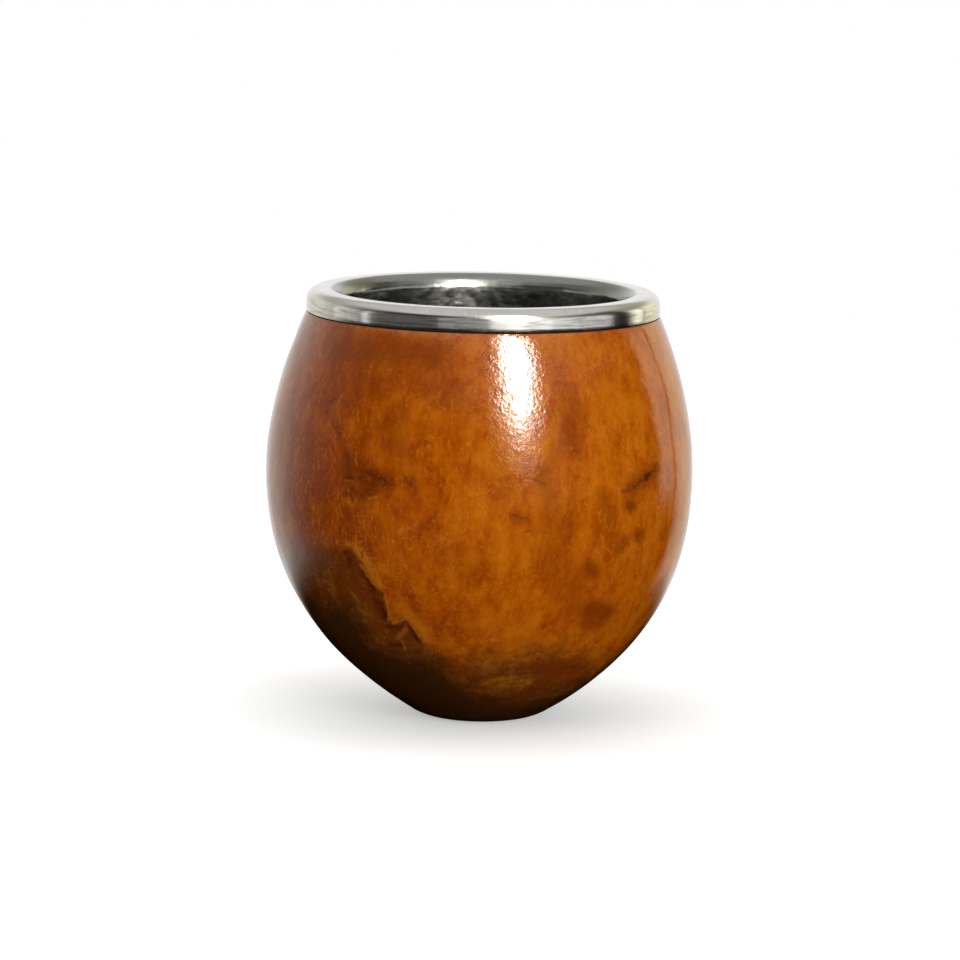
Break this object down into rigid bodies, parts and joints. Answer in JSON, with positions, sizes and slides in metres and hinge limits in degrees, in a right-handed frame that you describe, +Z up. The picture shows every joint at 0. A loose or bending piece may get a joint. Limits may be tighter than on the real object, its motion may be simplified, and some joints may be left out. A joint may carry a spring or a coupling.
{
  "type": "mate cup",
  "caption": "Round drinking cup made of a hollowed, varnished calabash gourd, with a polished steel ferrule seated over and inside its mouth.",
  "frame": {"origin": "on the axis of the round mouth, at the plane of the flat that the gourd stands on", "axes": "+Z up along the mouth's axis, out of the cup; -Y is the side that the picture shows"},
  "size_m": [0.088, 0.087, 0.0885],
  "materials": {
    "gourd": "glossy varnish over mottled, scorched calabash skin",
    "steel": "polished stainless steel, spun"
  },
  "bodies": {
    "root": {"gourd_shell": "gourd", "ferrule": "steel"}
  },
  "joints": []
}
